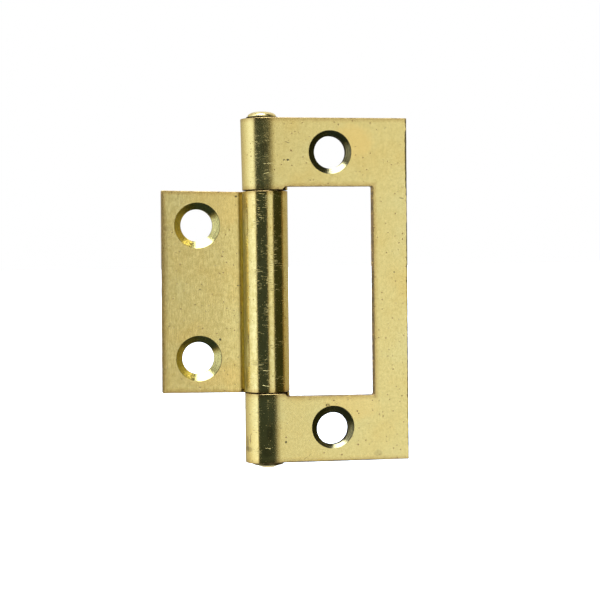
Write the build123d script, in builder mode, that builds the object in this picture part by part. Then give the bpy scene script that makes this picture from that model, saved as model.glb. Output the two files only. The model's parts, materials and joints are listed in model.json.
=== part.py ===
from build123d import *
import math
import os

# Flush hinge, open flat. Millimetres, +Z along the pin, countersinks facing -Y.
# The origin is midway between the outer leaf's screw holes, on its back face.

# Sheet and roll, the same for both leaves
sheet = 1.4
knuckle_r = 3.3
bend_r = 10.0
bend_angle = 10.0
seam_gap = 0.3
edge_break = 0.15
corner_round = 0.4

# Outer leaf: reaches are measured from the pin axis
outer_length = 50.0
outer_reach = 20.5
window_reach = 15.35
window_step = 0.35
step_reach = 2.0
outer_hole_reach = 9.25
outer_hole_spacing = 40.2

# Inner leaf: its flat is cut a little askew, longer than the roll by a shoulder at the lower end
inner_length = 29.2
inner_shoulder = 0.33
inner_skew = 1.25
inner_lean = 0.5
inner_hole_reach = 9.75
inner_hole_spacing = 19.5

# Clearances between moving faces
leaf_clearance = 0.35
knuckle_end_gap = 0.2
pin_clearance = 0.05

# Countersunk screw holes
hole_r = 2.35
outer_sink_r = 3.15
inner_sink_r = 3.35
sink_angle = 90.0

# Pin heads: a low dome on a collar at the top, a hammered cone with a round nose at the bottom
head_r = 2.3
head_rim = 0.3
head_height = 1.13
dome_foot = 1.95
peen_r = 2.2
peen_height = 0.9
peen_slope = 16.0
peen_nose_r = 2.5

# Derived from the sizes above
bore_r = knuckle_r - sheet
pin_r = bore_r - pin_clearance
bend_rad = math.radians(bend_angle)
bend_reach = (bend_r - knuckle_r) * math.sin(bend_rad)
flat_offset = bend_r - (bend_r - knuckle_r) * math.cos(bend_rad)
back_offset = flat_offset - sheet
seam_angle = -math.degrees(math.asin((back_offset - seam_gap) / knuckle_r))
roll_start = 270.0 - bend_angle
inner_reach = window_reach - leaf_clearance
inner_half = inner_length / 2
knuckle_face = inner_half + knuckle_end_gap
window_half = knuckle_face + window_step
end = outer_length / 2
skew_slope = math.tan(math.radians(inner_skew))
lean_slope = math.tan(math.radians(inner_lean))

# Planes: both sections look down the pin, the inner leaf's turned half round; blanks face front or back
axis_x = -outer_hole_reach
axis_y = back_offset
pin_axis = Axis(origin=(axis_x, axis_y, 0), direction=(0, 0, 1))
outer_section = Plane(origin=(axis_x, axis_y, 0), x_dir=(1, 0, 0), z_dir=(0, 0, 1))
inner_section = Plane(origin=(axis_x, axis_y, 0), x_dir=(-1, 0, 0), z_dir=(0, 0, 1))
inner_blank = Plane(origin=(axis_x, axis_y, 0), x_dir=(-1, 0, 0), z_dir=(0, 1, 0))
pin_section = Plane(origin=(axis_x, axis_y, 0), x_dir=(1, 0, 0), z_dir=(0, -1, 0))
outer_front = Plane(origin=(0, -sheet, 0), x_dir=(1, 0, 0), z_dir=(0, -1, 0))
window_front = Plane(origin=(axis_x, -sheet, 0), x_dir=(1, 0, 0), z_dir=(0, -1, 0))
inner_front = Plane(
    origin=(axis_x - inner_hole_reach, axis_y + back_offset, 0),
    x_dir=(1, 0, 0),
    z_dir=(0, -1, 0),
)


def polar(radius, angle):
    """Point at a radius and an angle in degrees about the pin axis."""
    turn = math.radians(angle)
    return (radius * math.cos(turn), radius * math.sin(turn))


def bend_middle(radius):
    """Middle of the gentle bend between flat and roll, on the face with this bend radius."""
    centre = bend_r - knuckle_r
    return (
        centre * math.sin(bend_rad) - radius * math.sin(bend_rad / 2),
        centre * math.cos(bend_rad) - radius * math.cos(bend_rad / 2),
    )


def rim(leaf):
    """A leaf's sheared edges: all but the lines across the sheet and the lines along the roll."""
    along = leaf.edges().filter_by(Axis.Z)
    far = along.filter_by(lambda line: abs(line.center().X - axis_x) > knuckle_r)
    return leaf.edges() - leaf.edges().filter_by(Axis.Y) - along + far


def leaf_outline(reach):
    """Outline of a leaf's sheet: along the flat, round the roll to its seam, and back inside."""
    roll_middle = (roll_start + seam_angle) / 2
    Line((reach, -flat_offset), (bend_reach, -flat_offset))
    ThreePointArc((bend_reach, -flat_offset), bend_middle(bend_r), polar(knuckle_r, roll_start))
    ThreePointArc(polar(knuckle_r, roll_start), polar(knuckle_r, roll_middle), polar(knuckle_r, seam_angle))
    Line(polar(knuckle_r, seam_angle), polar(bore_r, seam_angle))
    ThreePointArc(polar(bore_r, seam_angle), polar(bore_r, roll_middle), polar(bore_r, roll_start))
    ThreePointArc(polar(bore_r, roll_start), bend_middle(bend_r - sheet), (bend_reach, -back_offset))
    Line((bend_reach, -back_offset), (reach, -back_offset))
    Line((reach, -back_offset), (reach, -flat_offset))


with BuildPart() as outer_leaf:
    with BuildSketch(outer_section):
        with BuildLine():
            leaf_outline(outer_reach)
        make_face()
    extrude(amount=end, both=True)
    fillet(outer_leaf.edges().filter_by(Axis.Y).group_by(Axis.X)[-1], corner_round)
    # Room for the inner leaf: across the whole roll, then a little taller through the flat
    with BuildSketch(window_front):
        with Locations((-2 * knuckle_r, 0)):
            Rectangle(window_reach + 2 * knuckle_r, 2 * knuckle_face, align=(Align.MIN, Align.CENTER))
    extrude(amount=-4 * knuckle_r, mode=Mode.SUBTRACT)
    with BuildSketch(window_front):
        with BuildLine():
            Polyline(
                (step_reach, -knuckle_face),
                (step_reach + window_step, -window_half),
                (window_reach, -window_half),
                (window_reach, window_half),
                (step_reach + window_step, window_half),
                (step_reach, knuckle_face),
                close=True,
            )
        make_face()
    extrude(amount=-sheet - seam_gap / 2, mode=Mode.SUBTRACT)
    fillet(
        outer_leaf.edges().filter_by(Axis.Y).filter_by_position(
            Axis.X, axis_x + window_reach - corner_round, axis_x + window_reach + corner_round
        ),
        corner_round,
    )
    chamfer(rim(outer_leaf), edge_break)
    with Locations(outer_front.location):
        with GridLocations(0, outer_hole_spacing, 1, 2):
            CounterSinkHole(hole_r, outer_sink_r, counter_sink_angle=sink_angle)

with BuildPart() as inner_leaf:
    with BuildSketch(inner_section):
        with BuildLine():
            leaf_outline(window_reach)
        make_face()
    extrude(amount=end, both=True)
    # The roll is cut square; past it the flat steps down, then both ends and the free edge run askew
    flat_start = knuckle_r + inner_shoulder
    top_reach = inner_reach - lean_slope * inner_half
    low_reach = inner_reach + lean_slope * inner_half
    with BuildSketch(inner_blank):
        with BuildLine():
            Polyline(
                (-2 * knuckle_r, -inner_half),
                (knuckle_r, -inner_half),
                (flat_start, -inner_half - inner_shoulder),
                (low_reach, -inner_half - inner_shoulder + skew_slope * (low_reach - flat_start)),
                (top_reach, inner_half + skew_slope * (top_reach - knuckle_r)),
                (knuckle_r, inner_half),
                (-2 * knuckle_r, inner_half),
                close=True,
            )
        make_face()
    extrude(amount=2 * knuckle_r, both=True, mode=Mode.INTERSECT)
    fillet(
        inner_leaf.edges().filter_by(Axis.Y).filter_by_position(
            Axis.X, axis_x - low_reach - corner_round, axis_x - top_reach + corner_round
        ),
        corner_round,
    )
    chamfer(rim(inner_leaf), edge_break)
    with Locations(inner_front.location):
        with GridLocations(0, inner_hole_spacing, 1, 2):
            CounterSinkHole(hole_r, inner_sink_r, counter_sink_angle=sink_angle)

with BuildPart() as hinge_pin:
    dome_rise = head_height - head_rim
    dome_r = (dome_foot**2 + dome_rise**2) / (2 * dome_rise)
    dome_turn = math.asin(dome_foot / dome_r) / 2
    slope = math.radians(peen_slope)
    nose_reach = peen_nose_r * math.sin(slope)
    nose_rise = peen_nose_r * (1 - math.cos(slope))
    cone_rise = (peen_r - nose_reach) * math.tan(slope)
    tip = -end - peen_height
    with BuildSketch(pin_section):
        with BuildLine():
            Line((0, tip), (0, end + head_height))
            ThreePointArc(
                (0, end + head_height),
                (dome_r * math.sin(dome_turn), end + head_height - dome_r * (1 - math.cos(dome_turn))),
                (dome_foot, end + head_rim),
            )
            Polyline(
                (dome_foot, end + head_rim),
                (head_r, end + head_rim),
                (head_r, end),
                (pin_r, end),
                (pin_r, -end),
                (peen_r, -end),
                (peen_r, tip + nose_rise + cone_rise),
                (nose_reach, tip + nose_rise),
            )
            ThreePointArc(
                (nose_reach, tip + nose_rise),
                (peen_nose_r * math.sin(slope / 2), tip + peen_nose_r * (1 - math.cos(slope / 2))),
                (0, tip),
            )
        make_face()
    revolve(axis=pin_axis)

outer_leaf.part.label = "outer_leaf"
inner_leaf.part.label = "inner_leaf"
hinge_pin.part.label = "hinge_pin"

os.makedirs("parts", exist_ok=True)
export_step(outer_leaf.part, "parts/outer_leaf.step")
export_step(inner_leaf.part, "parts/inner_leaf.step")
export_step(hinge_pin.part, "parts/hinge_pin.step")
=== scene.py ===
"""Flush hinge in brass-plated steel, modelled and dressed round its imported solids.

Meshes are shaped in millimetres, about the pin's axis, and turned into metres and set in
the frame of the solids when they are done: +Z along the pin, countersinks facing -Y.
"""

import json
import logging
import math
from abc import ABC, abstractmethod
from collections.abc import Callable, Mapping, Sequence
from dataclasses import dataclass
from enum import Enum
from typing import Any

import bmesh
import bpy
from mathutils import Matrix, Vector

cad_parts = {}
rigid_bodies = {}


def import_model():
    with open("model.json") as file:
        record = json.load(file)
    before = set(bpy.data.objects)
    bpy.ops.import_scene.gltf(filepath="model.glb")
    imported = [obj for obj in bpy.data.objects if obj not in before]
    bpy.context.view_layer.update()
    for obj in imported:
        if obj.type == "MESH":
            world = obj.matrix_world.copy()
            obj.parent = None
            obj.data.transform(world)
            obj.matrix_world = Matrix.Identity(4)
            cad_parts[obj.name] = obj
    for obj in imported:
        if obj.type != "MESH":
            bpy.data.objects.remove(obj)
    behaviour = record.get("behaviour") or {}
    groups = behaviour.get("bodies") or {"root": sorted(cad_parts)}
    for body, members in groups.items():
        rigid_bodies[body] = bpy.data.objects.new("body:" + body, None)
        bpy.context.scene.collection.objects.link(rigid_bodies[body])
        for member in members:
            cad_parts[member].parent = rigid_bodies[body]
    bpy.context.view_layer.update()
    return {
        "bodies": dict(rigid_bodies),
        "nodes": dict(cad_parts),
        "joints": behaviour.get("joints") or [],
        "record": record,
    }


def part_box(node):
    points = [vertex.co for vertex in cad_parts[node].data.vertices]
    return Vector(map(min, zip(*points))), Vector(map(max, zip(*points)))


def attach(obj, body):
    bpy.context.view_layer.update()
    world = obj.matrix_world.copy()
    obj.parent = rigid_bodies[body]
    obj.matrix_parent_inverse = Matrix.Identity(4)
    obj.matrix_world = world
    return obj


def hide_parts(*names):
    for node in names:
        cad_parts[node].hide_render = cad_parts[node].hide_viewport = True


LOG = logging.getLogger("flush_hinge")
MM = 0.001
# Points nearer than this are one point, in millimetres
SAME = 1e-4
# Edges that turn by more than this are rounded, in degrees
SHARP = 50.0

Colour = tuple[float, float, float, float]
Ring = tuple[float, float]
Step = tuple[float, float]
WHITE: Colour = (1.0, 1.0, 1.0, 1.0)


class Part(Enum):
    """What a pick looks through on a mesh."""

    VERT = "verts"
    EDGE = "edges"
    FACE = "faces"


class SinkSide(Enum):
    """Which face of a leaf's sheet carries the countersinks, seen from its roll."""

    OUTSIDE = -1
    INSIDE = 1


class Dress(Enum):
    """Order of a leaf's material slots."""

    SHEET = 0
    SINK = 1
    SHEARED = 2
    END = 3


def binary(operation: str, swapped: bool = False) -> Callable[["Signal", Any], "Signal"]:
    """Make the method behind an operator that takes two values.

    Args:
        operation: What its Math node does.
        swapped: Whether the other value comes first, as in a reflected form.

    Returns:
        The method.
    """

    def method(signal: "Signal", other: Any) -> "Signal":
        pair = (other, signal) if swapped else (signal, other)
        return signal.maths(operation, *pair)

    return method


@dataclass(frozen=True)
class Signal:
    """A node's output in an expression: each operator adds the Math node that it stands for."""

    board: "Board"
    socket: bpy.types.NodeSocket | None

    def maths(self, operation: str, *values: Any) -> "Signal":
        """Add one Math node with its values or signals in order."""
        return self.board.add("ShaderNodeMath", {"operation": operation}, dict(enumerate(values)))

    __add__ = binary("ADD")
    __radd__ = binary("ADD", swapped=True)
    __sub__ = binary("SUBTRACT")
    __rsub__ = binary("SUBTRACT", swapped=True)
    __mul__ = binary("MULTIPLY")
    __rmul__ = binary("MULTIPLY", swapped=True)
    __truediv__ = binary("DIVIDE")
    __pow__ = binary("POWER")
    least = binary("MINIMUM")
    most = binary("MAXIMUM")

    def __abs__(self) -> "Signal":
        """Size without its sign."""
        return self.maths("ABSOLUTE", self)

    def rise(self, start: float, end: float) -> "Signal":
        """Smooth step from 0 at start to 1 at end, or down again where end is the smaller."""
        settings = {"interpolation_type": "SMOOTHSTEP"}
        return self.board.add("ShaderNodeMapRange", settings, {0: self, 1: start, 2: end})

    def beside(self, output: str) -> "Signal":
        """Another output of the same node."""
        return Signal(self.board, self.socket.node.outputs[output])


class Board:
    """A node tree and the one way in which nodes are put on it."""

    def __init__(self, tree: bpy.types.NodeTree) -> None:
        """Take over a material's or a world's nodes, and clear them."""
        self.tree = tree
        tree.nodes.clear()

    def add(
        self,
        kind: str,
        settings: Mapping[str, Any] | None = None,
        sockets: Mapping[int | str, Any] | None = None,
        output: int | str = 0,
    ) -> Signal:
        """Add a node of any kind.

        Args:
            kind: The node's type.
            settings: Its own settings, set first.
            sockets: Values or signals for its inputs, by name or place.
            output: The output to hand back.

        Returns:
            That output.
        """
        node = self.tree.nodes.new(kind)
        for name, value in (settings or {}).items():
            setattr(node, name, value)
        for name, value in (sockets or {}).items():
            if isinstance(value, Signal):
                self.tree.links.new(value.socket, node.inputs[name])
            else:
                node.inputs[name].default_value = value
        return Signal(self, node.outputs[output] if node.outputs else None)

    def mix(self, share: Any, first: Any, second: Any, blend: str = "MIX") -> Signal:
        """Blend two colours, with a share of the second one from 0 to 1."""
        settings = {"data_type": "RGBA", "blend_type": blend}
        return self.add("ShaderNodeMix", settings, {0: share, 6: first, 7: second}, 2)

    def coat(self, colour: Any, *coats: tuple[Any, Any]) -> Signal:
        """Lay coats over a colour, each with its share and its own colour."""
        for share, tint in coats:
            colour = self.mix(share, colour, tint)
        return colour

    def vector(self, x: Any, y: Any, z: Any) -> Signal:
        """Join three values into a place or a colour."""
        return self.add("ShaderNodeCombineXYZ", None, {0: x, 1: y, 2: z})

    def split(self, place: Signal) -> list[Signal]:
        """Take a place apart into its three values."""
        node = self.add("ShaderNodeSeparateXYZ", None, {0: place}).socket.node
        return [Signal(self, output) for output in node.outputs]


class Surface:
    """A material under work, with its place in millimetres split into three values."""

    def __init__(self, name: str) -> None:
        """Make the material and read its Object coordinates.

        Args:
            name: The material's name.
        """
        self.material = bpy.data.materials.new(name)
        self.material.use_nodes = True
        self.board = Board(self.material.node_tree)
        metres = self.board.add("ShaderNodeTexCoord", output="Object")
        scale = {"operation": "SCALE"}
        self.place = self.board.add("ShaderNodeVectorMath", scale, {0: metres, "Scale": 1 / MM})
        self.x, self.y, self.z = self.board.split(self.place)

    def stretched(self, x: float, y: float, z: float) -> Signal:
        """Place with each direction scaled by itself."""
        return self.board.vector(self.x * x, self.y * y, self.z * z)

    def noise(
        self, scale: float, detail: float = 2.0, roughness: float = 0.5, place: Signal | None = None
    ) -> Signal:
        """Soft random value about 0.5.

        Args:
            scale: Waves in a millimetre.
            detail: Octaves on top.
            roughness: How strong they are.
            place: Where to read it, if not at the surface's own place.

        Returns:
            The value.
        """
        sockets = {"Vector": place or self.place, "Scale": scale, "Detail": detail, "Roughness": roughness}
        return self.board.add("ShaderNodeTexNoise", None, sockets)

    def finish(
        self, colour: Any, roughness: Any, height: Signal, metallic: Any = 1.0
    ) -> bpy.types.Material:
        """Close the material with a metal shader.

        Args:
            colour: Base colour.
            roughness: Roughness.
            height: Relief of the surface, in millimetres.
            metallic: Share of bare metal; the rest is a thin haze on it.

        Returns:
            The finished material.
        """
        relief = {"Strength": 1.0, "Distance": MM, "Height": height}
        bump = self.board.add("ShaderNodeBump", None, relief)
        sockets = {"Base Color": colour, "Roughness": roughness, "Metallic": metallic, "Normal": bump}
        shader = self.board.add("ShaderNodeBsdfPrincipled", None, sockets)
        self.board.add("ShaderNodeOutputMaterial", None, {"Surface": shader})
        return self.material


@dataclass(frozen=True)
class Mark:
    """An old mark on a leaf: where it lies, its size and lean, and what it does to the plating."""

    x: float
    z: float
    wide: float
    high: float
    lean: float = 0.0
    stain: float = 0.0
    blush: float = 0.0
    dent: float = 0.0
    scuff: float = 0.0
    ragged: float = 0.0

    def mask(self, surface: Surface) -> Signal:
        """Soft ellipse over the mark, torn up by noise where the mark is ragged.

        Args:
            surface: The material that carries it.

        Returns:
            1 on the mark, 0 away from it.
        """
        turn = math.radians(self.lean)
        across = surface.x - self.x
        up = surface.z - self.z
        along = (across * math.cos(turn) + up * math.sin(turn)) / self.wide
        over = (up * math.cos(turn) - across * math.sin(turn)) / self.high
        spread = along * along + over * over
        if self.ragged:
            spread = spread + (surface.noise(1.6, 3.0) - 0.5) * self.ragged
        return spread.rise(1.0, 0.2)


@dataclass(frozen=True)
class Pits:
    """Round pits in a random net: cells in a millimetre, share of cells, and largest radius in a cell."""

    scale: float
    share: float
    reach: float

    def mask(self, surface: Surface) -> Signal:
        """Find the pits.

        Args:
            surface: The material that carries them.

        Returns:
            1 in a pit, 0 outside it.
        """
        sockets = {"Vector": surface.place, "Scale": self.scale}
        distance = surface.board.add("ShaderNodeTexVoronoi", None, sockets)
        chance = surface.board.add("ShaderNodeSeparateColor", None, {0: distance.beside("Color")})
        size = (chance - (1 - self.share)) * (self.reach / self.share)
        return (size - distance).rise(-0.02, 0.03)


@dataclass(frozen=True)
class Plating:
    """The thin brass layer that every piece of the hinge carries, clean and soiled, with colours that
    stand for painted shade and reflection.
    """

    brass: Colour = (0.89, 0.715, 0.29, 1.0)
    warm: Colour = (0.88, 0.64, 0.215, 1.0)
    green: Colour = (0.87, 0.745, 0.34, 1.0)
    painted_limb_reflection: Colour = (0.66, 0.57, 0.06, 1.0)
    painted_recess_shade: Colour = (0.47, 0.40, 0.022, 1.0)
    dull: Colour = (0.72, 0.68, 0.52, 1.0)
    brown_and_shade: Colour = (0.34, 0.20, 0.07, 1.0)
    pit_and_shade: Colour = (0.10, 0.07, 0.025, 1.0)
    painted_shade_colour: Colour = (0.018, 0.014, 0.008, 1.0)
    blush: Colour = (0.86, 0.595, 0.19, 1.0)
    drift: float = 0.55

    def base(self, surface: Surface) -> Signal:
        """Colour of the clean layer, drifting slowly between a warm and a green brass.

        Args:
            surface: The material that carries it.

        Returns:
            The colour.
        """
        wander = surface.noise(0.13, 3.0)
        warmer = wander.rise(0.50, 0.70) * self.drift
        greener = wander.rise(0.50, 0.32) * self.drift
        return surface.board.coat(self.brass, (warmer, self.warm), (greener, self.green))


@dataclass(frozen=True)
class Zones:
    """Where a sheet looks different, as values from 0 to 1, and how far its ragged edges are."""

    roll: Signal
    limb: Signal
    recess: Signal
    crease: Signal
    near: Signal
    bare: Signal
    marked: Signal
    edge: Signal


@dataclass(frozen=True)
class SheetFinish:
    """Plated sheet of a leaf: drawn grain, pits, a dark line at the edges, rubs and old marks, with
    painted shade along the edges and in the recess by the roll, and a painted reflection on the roll's
    limb.
    """

    name: str
    leaf: "Leaf"
    axis: Vector
    plating: Plating
    marks: tuple[Mark, ...]
    flat_rough: float = 0.22
    roll_rough: float = 0.14
    recess: float = 0.0
    recess_rough: float = 0.32
    marked_to: float = 0.9
    limb_wear_and_reflection: float = 0.0
    roll_scratches: float = 0.5
    streaks: float = 0.35
    mottle: float = 0.55
    mottle_scale: float = 1.5
    edge_blush: float = 0.35
    painted_edge_shade: float = 0.34
    tone: float = 0.0
    frost: float = 0.0
    haze: float = 0.1
    crease_reach: float = 2.68
    crease_rise: float = 0.02
    grain_relief: float = 0.004
    streak_relief: float = 0.002
    specks: Pits = Pits(0.85, 0.55, 0.125)
    fine_specks: Pits = Pits(1.9, 0.60, 0.23)
    sparks: Pits = Pits(1.5, 0.35, 0.14)
    fine_sparks: Pits = Pits(3.3, 0.75, 0.27)
    holes: Pits = Pits(0.38, 0.25, 0.075)

    def zones(self, surface: Surface) -> Zones:
        """Find the roll, its limb, worn and given a painted reflection, and the recess between it and the
        flat.

        Args:
            surface: The material that carries them.

        Returns:
            The zones.
        """
        knuckle_r = self.leaf.roll.knuckle_r
        across = surface.x - self.axis.x
        deep = surface.y - self.axis.y
        out = across * self.leaf.way
        roll = ((across * across + deep * deep) ** 0.5).rise(knuckle_r * 1.10, knuckle_r * 1.02)
        limb = deep.rise(-1.9, -0.6) * out.rise(knuckle_r * 0.70, knuckle_r * 0.90)
        behind = deep.rise(1.0, 1.6) * deep.rise(2.6, 2.3) * out.rise(1.6, 2.2) * self.recess
        return Zones(
            roll=roll,
            limb=limb * roll * self.limb_wear_and_reflection,
            recess=behind * out.rise(knuckle_r - 0.09, knuckle_r - 0.29),
            crease=behind * abs(out - self.crease_reach).rise(0.09, 0.0),
            near=behind * out.rise(knuckle_r + 3.5, knuckle_r + 1.0),
            bare=roll.most(behind * out.rise(knuckle_r + 0.9, knuckle_r + 0.3)),
            marked=deep.rise(self.marked_to + 0.3, self.marked_to),
            edge=self.leaf.edge_distance(out, surface.z) + (surface.noise(1.9, 3.0) - 0.5) * 0.35,
        )

    def make(self) -> bpy.types.Material:
        """Build the material.

        Returns:
            The plated sheet.
        """
        surface = Surface(self.name)
        board = surface.board
        plating = self.plating
        zones = self.zones(surface)

        # Grain of the sheet, and what lies on it
        lined = zones.edge.rise(0.13, 0.03)
        grain = surface.noise(3.4, 4.0, 0.7)
        streaks = surface.noise(1.0, 3.0, 0.6, surface.stretched(6.0, 6.0, 0.8))
        mottle = surface.noise(self.mottle_scale, 4.0, 0.75)
        specks = (self.fine_specks.mask(surface) * 0.75).most(self.specks.mask(surface) * 0.9)
        sparks = self.fine_sparks.mask(surface).most(self.sparks.mask(surface)) * zones.roll
        holes = self.holes.mask(surface)
        frost = surface.noise(3.6, 3.0, 0.65).rise(0.46, 0.70) * 0.7 + 0.5
        frost = frost * zones.roll * surface.z.rise(-18.0, 10.0) * self.frost
        lines = surface.noise(1.0, 1.0, place=surface.stretched(0.9, 0.9, 9.0)).rise(0.56, 0.66)
        rubs = lines * surface.noise(0.55, 1.0).rise(0.45, 0.62) * zones.roll * self.roll_scratches

        # Colour and relief, from the clean sheet to the pits, with painted shade and reflection near the
        # edges and the roll
        colour = board.coat(
            plating.base(surface),
            (zones.edge.rise(0.95, 0.05) * self.edge_blush, plating.blush),
            # Painted shade along the rolled-over edges, in the brown that also colours specks, sheared
            # edges and bruises
            (zones.edge.rise(0.75, 0.10) * self.painted_edge_shade, plating.brown_and_shade),
            # Painted shade and reflection in the recess beside the roll: a dark, saturated brass, as brass
            # mirrored in brass
            (zones.recess * 0.92, plating.painted_recess_shade),
            # Painted reflection and shade on the roll's limb; the extra roughness it gets further down is
            # wear
            (zones.limb * 0.5, plating.painted_limb_reflection),
        )
        shade = streaks.rise(0.36, 0.64) * self.streaks + mottle.rise(0.36, 0.64) * self.mottle + self.tone
        colour = board.mix(shade, colour, plating.dull, "MULTIPLY")
        height = grain * self.grain_relief + streaks * self.streak_relief
        for mark in self.marks:
            mask = mark.mask(surface) * zones.marked
            if mark.blush:
                colour = board.mix(mask * mark.blush, colour, plating.blush)
            if mark.stain:
                colour = board.mix(mask * mark.stain, colour, plating.pit_and_shade)
            if mark.dent:
                height = height - mask * mark.dent
            if mark.scuff:
                rubs = rubs.most(mask * lines * mark.scuff if mark.ragged else mask * mark.scuff)
        soil = ((lined * 0.70, plating.brown_and_shade), (specks, plating.brown_and_shade), (holes * 0.85, plating.pit_and_shade))
        colour = board.coat(colour, *soil)
        height = height - specks * 0.003 - holes * 0.02 - rubs * 0.006 + zones.crease * self.crease_rise

        # Roughness, and the haze that only the roll and its recess are free of
        roughness = self.flat_rough + (streaks - 0.5) * 0.14 + lined * 0.15 + specks * 0.10
        roughness = roughness + zones.roll * (self.roll_rough - self.flat_rough) + rubs * 0.30
        roughness = roughness + (sparks * 0.24).most(frost)
        roughness = roughness + zones.recess * self.recess_rough - zones.near * 0.10 + zones.limb * 0.45
        return surface.finish(colour, roughness, height, 1 - (1 - zones.bare) * self.haze)


@dataclass(frozen=True)
class SinkFinish:
    """Countersink cut with a turning tool: fine rings about the screw's axis, over a darker cone colour.
    """

    name: str
    plating: Plating
    hole_x: float
    hole_z: float
    cone_colour: Colour
    rough: float = 0.16
    ring_relief: float = 0.016

    def make(self) -> bpy.types.Material:
        """Build the material.

        Returns:
            The cut surface.
        """
        surface = Surface(self.name)
        board = surface.board
        across = surface.x - self.hole_x
        up = abs(surface.z) - self.hole_z
        radius = (across * across + up * up) ** 0.5
        around = across.maths("ARCTAN2", across, up)
        spiral = board.vector(radius * 11.0, around * 0.9, surface.z * 0.05)
        rings = surface.noise(1.0, 3.0, 0.6, spiral)
        chatter = surface.noise(5.0)
        bright = (rings.rise(0.50, 0.70) * 0.55, self.plating.brass)
        colour = board.coat(self.cone_colour, bright, (chatter.rise(0.55, 0.40) * 0.30, self.plating.pit_and_shade))
        height = rings * self.ring_relief + chatter * 0.004
        return surface.finish(colour, self.rough + (rings - 0.5) * 0.20, height)


@dataclass(frozen=True)
class ShearedFinish:
    """Blanked edge of the sheet: browned, torn along the thickness, with thin plating, and darkened with
    painted shade where it stands in a gap or a hole.
    """

    name: str
    plating: Plating
    rough: float = 0.42
    painted_shade: float = 0.0

    def make(self) -> bpy.types.Material:
        """Build the material.

        Returns:
            The edge.
        """
        surface = Surface(self.name)
        plating = self.plating
        tears = surface.noise(1.0, 3.0, place=surface.stretched(5.0, 0.7, 5.0))
        patches = surface.noise(0.9, 3.0)
        colour = surface.board.coat(
            plating.brown_and_shade,
            (tears.rise(0.52, 0.72), plating.warm),
            (patches.rise(0.55, 0.40) * 0.7, plating.pit_and_shade),
            # Painted shade, near black, for faces in gaps and holes
            (self.painted_shade, plating.painted_shade_colour),
        )
        height = tears * 0.05 + patches * 0.02
        return surface.finish(colour, self.rough + (tears - 0.5) * 0.3, height)


@dataclass(frozen=True)
class PinFinish:
    """Plated pin: smooth shank, heads rubbed bright and bruised by the hammer, and painted shadow on each
    collar where it meets its knuckle.
    """

    name: str
    plating: Plating
    end: float
    collar: float
    rough: float = 0.26

    def make(self) -> bpy.types.Material:
        """Build the material.

        Returns:
            The pin's surface.
        """
        surface = Surface(self.name)
        bruises = surface.noise(1.4)
        grain = surface.noise(6.0)
        past_knuckle = abs(surface.z) - self.end
        # Painted shadow on the collars next to the knuckles' ends, in the pits' dark colour; it also
        # roughens them
        painted_shade = past_knuckle.rise(-0.05, 0.02) * past_knuckle.rise(self.collar + 0.10, self.collar - 0.05)
        bruised = (bruises.rise(0.52, 0.30) * 0.5, self.plating.brown_and_shade)
        colour = surface.board.coat(self.plating.base(surface), bruised, (painted_shade * 0.85, self.plating.pit_and_shade))
        height = bruises * 0.03 + grain * 0.006
        roughness = self.rough + (grain - 0.5) * 0.15 + bruises.rise(0.5, 0.3) * 0.15 + painted_shade * 0.2
        return surface.finish(colour, roughness, height)


def middle_of(item: Any) -> Vector:
    """Find the middle of a mesh element.

    Args:
        item: A vertex, an edge or a face under work.

    Returns:
        Its middle.
    """
    if isinstance(item, bmesh.types.BMVert):
        return item.co
    if isinstance(item, bmesh.types.BMEdge):
        return (item.verts[0].co + item.verts[1].co) / 2
    return item.calc_center_median()


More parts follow.
